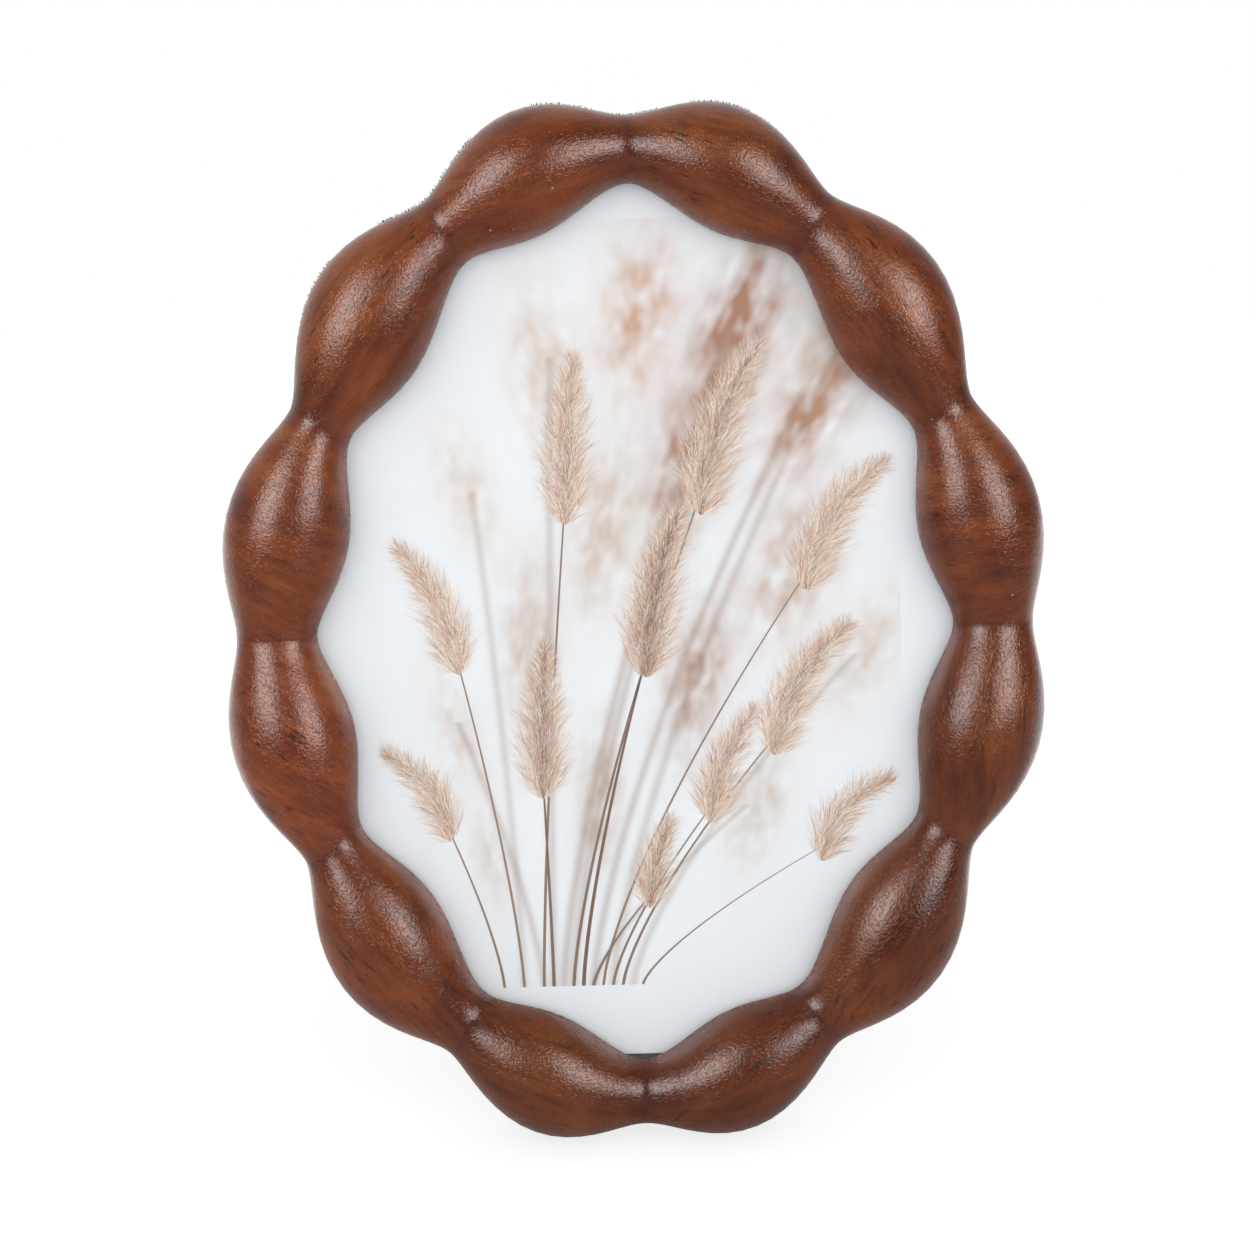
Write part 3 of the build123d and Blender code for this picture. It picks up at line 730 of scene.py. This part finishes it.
# Turn buttons and their screws. Stamped and blackened steel tongues on zinc-plated pan-head
# screws that run into the ring's back; each turns aside to let the backer out.
handling_marks, asked, given = new_group(
    "handling_marks", [("Metal", "Color", (0.5, 0.5, 0.5, 1)), ("Smooth", "Float", 0.3)],
    [("Color", "Color"), ("Roughness", "Float"), ("Height", "Float")])
place = add_node(handling_marks, "ShaderNodeTexCoord").outputs["Object"]
brushing = add_node(handling_marks, "ShaderNodeMapping", i0=place, i2=(0.3, 0.2, 0.6), i3=(1, 0.05, 1))
cloudy = add_math(handling_marks, "MULTIPLY", add_noise(handling_marks, place, 300, 4), 0.35)
scratch = add_noise(handling_marks, brushing.outputs[0], 900, 3)
tarnished = add_mix(handling_marks, cloudy, asked["Metal"], (0.02, 0.018, 0.015, 1))
worn = add_math(handling_marks, "ADD", asked["Smooth"], add_math(handling_marks, "MULTIPLY", scratch, 0.25))
handling_marks.links.new(tarnished, given["Color"])
handling_marks.links.new(worn, given["Roughness"])
handling_marks.links.new(scratch, given["Height"])


def plated(name, colour, roughness):
    material, tree, shader = new_material(name)
    marks = add_node(tree, "ShaderNodeGroup", {"node_tree": handling_marks},
                     Metal=colour, Smooth=roughness).outputs
    tree.links.new(marks["Color"], shader.inputs["Base Color"])
    tree.links.new(marks["Roughness"], shader.inputs["Roughness"])
    add_bump(tree, shader, marks["Height"], 0.12, 0.00005)
    shader.inputs["Metallic"].default_value = 1.0
    return material


broken_edge = 0.00012


def softened(node_name, material, body="frame"):
    """A merged copy of a CAD node with its edges broken, as stamping and plating leave them."""
    bm = bmesh.new()
    bm.from_mesh(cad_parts[node_name].data)
    bmesh.ops.remove_doubles(bm, verts=bm.verts, dist=0.000002)
    bmesh.ops.dissolve_limit(bm, angle_limit=radians(1.5), verts=bm.verts, edges=bm.edges)
    piece = add_table_piece(node_name + "_finished", bm, material, body, [node_name], 28)
    rounding = piece.modifiers.new("broken_edges", "BEVEL")
    rounding.width = broken_edge
    rounding.segments = 2
    rounding.limit_method = "ANGLE"
    rounding.angle_limit = radians(40)
    rounding.harden_normals = False


corners = ("upper_right", "lower_right", "lower_left", "upper_left")
blackened = plated("blackened_steel", linear(104, 102, 102), 0.4)
zinc = plated("zinc_plate", linear(190, 190, 188), 0.28)
for corner in corners:
    softened("turn_button_" + corner, blackened, "button_" + corner)
    softened("button_screw_" + corner, zinc)

# Sawtooth hanger. A toothed strip of brass-washed steel nailed over the top neck, for hanging the
# frame on a wall with its leg folded flat.
brass_wash = plated("brass_wash", linear(206, 178, 112), 0.3)
for name in ("sawtooth_hanger", "hanger_nail_left", "hanger_nail_right"):
    softened(name, brass_wash)

# Easel hinge. Two nickel-plated leaves rolled round one pin; one is riveted to the backer and one
# to the leg, and the leg's leaf ends in a tab that stops it open.
nickel = plated("nickel_plate", linear(196, 194, 188), 0.26)
softened("hinge_leaf_backer", nickel)
softened("hinge_pin", nickel)
softened("hinge_leaf_leg", nickel, "leg")
for side in ("left", "right"):
    softened("backer_rivet_" + side, nickel)
    softened("leg_rivet_" + side, nickel, "leg")

# Easel leg. A tapered fibreboard strut wrapped in black flocked paper, its foot cut level with
# the table at the open angle.
keep_node("leg_board", fibreboard)
keep_node("leg_velvet", velvet)

# Table and room. A round matt white table in a white room: the camera sees the table fade out
# into white, and the room is bright behind the object and dim on the camera's side.
table_radius = 0.65
fade_start = 0.08
fade_end = 0.42
rear_start = 0.05
table = bmesh.new()
bmesh.ops.create_circle(table, cap_ends=True, segments=128, radius=table_radius)
table_mesh = bpy.data.meshes.new("table_top")
table.to_mesh(table_mesh)
table.free()
table_top = bpy.data.objects.new("table_top", table_mesh)
bpy.context.collection.objects.link(table_top)
matt_white, tree, shader = new_material("matt_white")
shader.inputs["Roughness"].default_value = 0.9
shader.inputs["Specular IOR Level"].default_value = 0.2
path = add_node(tree, "ShaderNodeLightPath").outputs
white_to_rays = add_mix(tree, path["Is Camera Ray"], (0.8, 0.8, 0.8, 1), (0.3, 0.3, 0.3, 1))
tree.links.new(white_to_rays, shader.inputs["Base Color"])
place = add_node(tree, "ShaderNodeTexCoord").outputs["Object"]
shiny = add_math(tree, "MAXIMUM", path["Is Glossy Ray"], path["Is Transmission Ray"])
depth = add_node(tree, "ShaderNodeSeparateXYZ", i0=place).outputs[1]
rear = add_math(tree, "GREATER_THAN", depth, rear_start)
mirrored = add_math(tree, "MULTIPLY", shiny, rear)
seen = add_math(tree, "MAXIMUM", path["Is Camera Ray"], mirrored)
reach = add_node(tree, "ShaderNodeVectorMath", {"operation": "LENGTH"}, i0=place).outputs["Value"]
fade = add_node(tree, "ShaderNodeMapRange", {"interpolation_type": "SMOOTHSTEP"},
                i0=reach, i1=fade_start, i2=fade_end, i3=0.78, i4=1.0).outputs[0]
glow = add_node(tree, "ShaderNodeEmission", Strength=add_math(tree, "MULTIPLY", seen, fade))
blended = add_node(tree, "ShaderNodeAddShader", i0=shader.outputs[0], i1=glow.outputs[0])
tree.links.new(blended.outputs[0], tree.nodes["Material Output"].inputs["Surface"])
table_mesh.materials.append(matt_white)

world = bpy.data.worlds.new("white_room")
bpy.context.scene.world = world
world.use_nodes = True
tree = world.node_tree
path = add_node(tree, "ShaderNodeLightPath").outputs
tree.nodes["Background"].inputs["Color"].default_value = (1, 1, 1, 1)
shiny = add_math(tree, "MAXIMUM", path["Is Glossy Ray"], path["Is Transmission Ray"])
bright_side = (-0.25, 0.93, 0.25)
outward = add_node(tree, "ShaderNodeTexCoord").outputs["Generated"]
direction = add_node(tree, "ShaderNodeVectorMath", {"operation": "DOT_PRODUCT"},
                     i0=outward, i1=bright_side).outputs["Value"]
mirrored = add_node(tree, "ShaderNodeMapRange", {"interpolation_type": "SMOOTHSTEP"},
                    i0=direction, i1=-0.05, i2=0.95, i3=0.06, i4=1.0).outputs[0]
ambient = add_node(tree, "ShaderNodeMix", i0=shiny, i2=0.80, i3=mirrored).outputs[0]
brightness = add_math(tree, "MAXIMUM", path["Is Camera Ray"], ambient)
tree.links.new(brightness, tree.nodes["Background"].inputs["Strength"])


sheen_width = 0.42
sheen_height = 0.44
sheen_watts = 10.2
fill_watts = 4.8


def add_softbox(name, place, width, height, watts, kind):
    """A soft lamp at a place in front of the panel, turned to its middle."""
    lamp = bpy.data.lights.new(name, "AREA")
    lamp.shape = "RECTANGLE"
    lamp.size, lamp.size_y = width, height
    lamp.energy = watts
    box = bpy.data.objects.new(name, lamp)
    bpy.context.collection.objects.link(box)
    spot = panel_to_table @ Vector(place)
    aim = panel_to_table @ Vector((0, 0, 0)) - spot
    box.matrix_world = Matrix.Translation(spot) @ aim.to_track_quat("-Z", "Y").to_matrix().to_4x4()
    box.visible_glossy = kind != "fill"
    box.visible_diffuse = kind != "sheen"
    box.visible_transmission = False


add_softbox("softbox_left", (-0.42, -0.46, 0.24), sheen_width, sheen_height, sheen_watts, "sheen")
add_softbox("softbox_right", (0.44, -0.50, 0.22), sheen_width, sheen_height, sheen_watts, "sheen")
add_softbox("front_fill", (0, -0.95, 0.24), 2.0, 1.2, fill_watts, "fill")

bpy.context.scene.view_settings.view_transform = "Standard"
